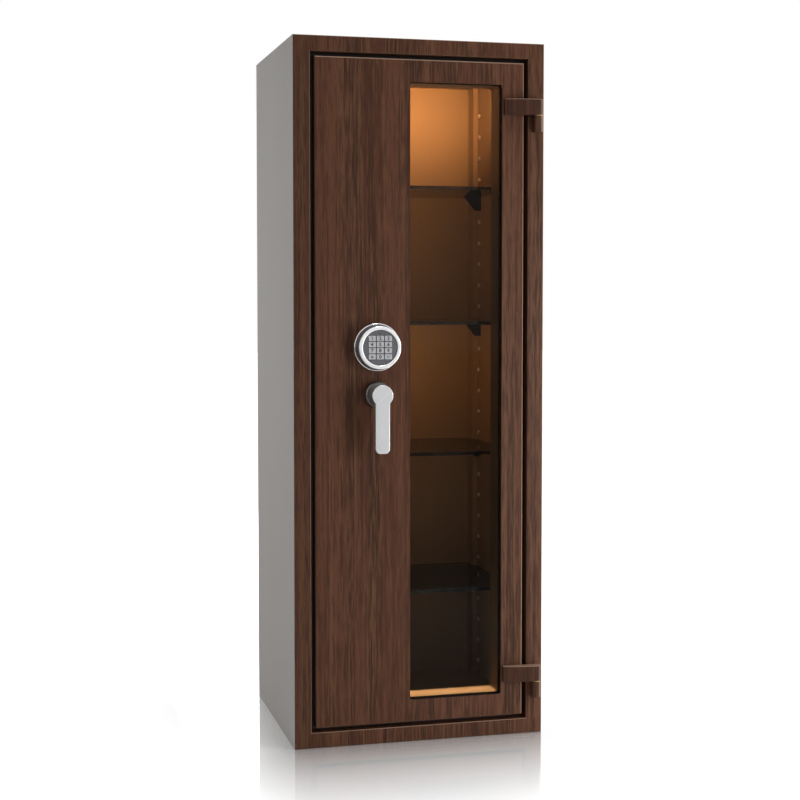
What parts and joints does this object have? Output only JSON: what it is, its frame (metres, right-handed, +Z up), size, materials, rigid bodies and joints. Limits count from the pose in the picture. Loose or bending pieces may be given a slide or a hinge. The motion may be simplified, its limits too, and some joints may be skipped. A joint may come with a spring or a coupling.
{
  "type": "glass door safe",
  "caption": "Tall cabinet safe with a walnut-finish door, a glazed window, keypad lock, lever handle and shelves.",
  "frame": {"origin": "centre of the footprint on the floor", "axes": "+Z up, +X to the right seen from the front, the front faces -Y"},
  "size_m": [0.55, 0.52, 1.5],
  "materials": {
    "body_paint": "greige fine-texture powder coat",
    "walnut": "walnut wood-grain finish, satin",
    "frame_steel": "dark brown paint",
    "seal_rubber": "black rubber",
    "filling": "cast mineral filling",
    "gold_lining": "tan gold satin lacquer",
    "shelf_glass": "smoked tempered glass",
    "clear_glass": "clear laminated security glass",
    "black_steel": "black powder coat",
    "lamp_alloy": "anodised channel",
    "lamp_diffuser": "lit warm diffuser",
    "driver_plastic": "white moulded plastic",
    "bright_steel": "ground and nickel-plated",
    "bronze": "sintered bronze",
    "plate_steel": "zinc-plated plate",
    "lock_alloy": "die-cast, shot-blasted",
    "lever_nickel": "satin nickel",
    "rosette_grey": "dark grey satin",
    "chrome": "polished chrome",
    "keypad_black": "dark graphite moulding",
    "board": "green solder mask",
    "cell": "plain cell sleeve",
    "key_silver": "silver key cap"
  },
  "bodies": {
    "safe_body": {"side_panels": "body_paint", "top_panel": "body_paint", "base_panel": "body_paint", "back_panel": "body_paint", "wall_filling": "filling", "lining_sides": "gold_lining", "lining_ends": "gold_lining", "lining_back": "gold_lining", "front_frame": "walnut", "rebate_frame": "frame_steel", "door_seal": "seal_rubber", "glass_shelves": "shelf_glass", "shelf_brackets": "black_steel", "cable_duct": "gold_lining", "lamp_channel": "lamp_alloy", "lamp_diffuser": "lamp_diffuser", "lamp_driver": "driver_plastic", "frame_knuckles": "walnut", "hinge_pins": "bright_steel", "hinge_washers": "bronze"},
    "door": {"hinge_arms": "walnut", "door_skin": "walnut", "drill_board": "filling", "door_plate": "plate_steel", "window_glass": "clear_glass", "glass_gasket": "seal_rubber", "reveal_frame": "gold_lining", "door_casing": "black_steel", "inner_cover": "black_steel", "dog_bar": "bright_steel", "bolt_bushes": "bronze", "guide_studs": "plate_steel", "spindle_bush": "bronze", "lock_case": "lock_alloy", "rosette": "rosette_grey", "keypad_base": "chrome", "keypad_housing": "keypad_black", "keypad_bezel": "chrome", "keypad_faceplate": "keypad_black", "keypad_board": "board", "battery_cells": "cell"},
    "handle": {"lever_handle": "lever_nickel", "spindle": "bright_steel", "pinion": "plate_steel"},
    "boltwork": {"bolt_bar": "plate_steel", "rack_plate": "plate_steel", "locking_bolts": "bright_steel"},
    "lock_bolt": {"lock_bolt": "bright_steel"},
    "key_1": {"key_1": "key_silver"},
    "key_2": {"key_2": "key_silver"},
    "key_3": {"key_3": "key_silver"},
    "key_4": {"key_4": "key_silver"},
    "key_5": {"key_5": "key_silver"},
    "key_6": {"key_6": "key_silver"},
    "key_7": {"key_7": "key_silver"},
    "key_8": {"key_8": "key_silver"},
    "key_9": {"key_9": "key_silver"},
    "key_clear": {"key_clear": "key_silver"},
    "key_0": {"key_0": "key_silver"},
    "key_enter": {"key_enter": "key_silver"}
  },
  "joints": [
    {"name": "door_swing", "type": "hinge", "parent": "safe_body", "child": "door", "pos_m": [0.2585, -0.2455, 0.75], "axis": [0, 0, 1], "range_deg": [0, 180]},
    {"name": "handle_turn", "type": "hinge", "parent": "door", "child": "handle", "pos_m": [-0.0955, -0.27, 0.75], "axis": [0, 1, 0], "range_deg": [0, 90]},
    {"name": "boltwork_slide", "type": "slide", "parent": "door", "child": "boltwork", "axis": [-1, 0, 0], "range_m": [0, 0.022]},
    {"name": "lock_bolt_slide", "type": "slide", "parent": "door", "child": "lock_bolt", "axis": [0, 0, 1], "range_m": [0, 0.011]},
    {"name": "key_1_press", "type": "slide", "parent": "door", "child": "key_1", "axis": [0, 1, 0], "range_m": [0, 0.0008], "stiffness_N_per_m": 600},
    {"name": "key_2_press", "type": "slide", "parent": "door", "child": "key_2", "axis": [0, 1, 0], "range_m": [0, 0.0008], "stiffness_N_per_m": 600},
    {"name": "key_3_press", "type": "slide", "parent": "door", "child": "key_3", "axis": [0, 1, 0], "range_m": [0, 0.0008], "stiffness_N_per_m": 600},
    {"name": "key_4_press", "type": "slide", "parent": "door", "child": "key_4", "axis": [0, 1, 0], "range_m": [0, 0.0008], "stiffness_N_per_m": 600},
    {"name": "key_5_press", "type": "slide", "parent": "door", "child": "key_5", "axis": [0, 1, 0], "range_m": [0, 0.0008], "stiffness_N_per_m": 600},
    {"name": "key_6_press", "type": "slide", "parent": "door", "child": "key_6", "axis": [0, 1, 0], "range_m": [0, 0.0008], "stiffness_N_per_m": 600},
    {"name": "key_7_press", "type": "slide", "parent": "door", "child": "key_7", "axis": [0, 1, 0], "range_m": [0, 0.0008], "stiffness_N_per_m": 600},
    {"name": "key_8_press", "type": "slide", "parent": "door", "child": "key_8", "axis": [0, 1, 0], "range_m": [0, 0.0008], "stiffness_N_per_m": 600},
    {"name": "key_9_press", "type": "slide", "parent": "door", "child": "key_9", "axis": [0, 1, 0], "range_m": [0, 0.0008], "stiffness_N_per_m": 600},
    {"name": "key_clear_press", "type": "slide", "parent": "door", "child": "key_clear", "axis": [0, 1, 0], "range_m": [0, 0.0008], "stiffness_N_per_m": 600},
    {"name": "key_0_press", "type": "slide", "parent": "door", "child": "key_0", "axis": [0, 1, 0], "range_m": [0, 0.0008], "stiffness_N_per_m": 600},
    {"name": "key_enter_press", "type": "slide", "parent": "door", "child": "key_enter", "axis": [0, 1, 0], "range_m": [0, 0.0008], "stiffness_N_per_m": 600}
  ],
  "couplings": [
    {"joint": "boltwork_slide", "follows": "handle_turn", "m_per_rad": 0.014},
    {"joint": "lock_bolt_slide", "follows": "handle_turn", "m_per_rad": 0.007}
  ]
}
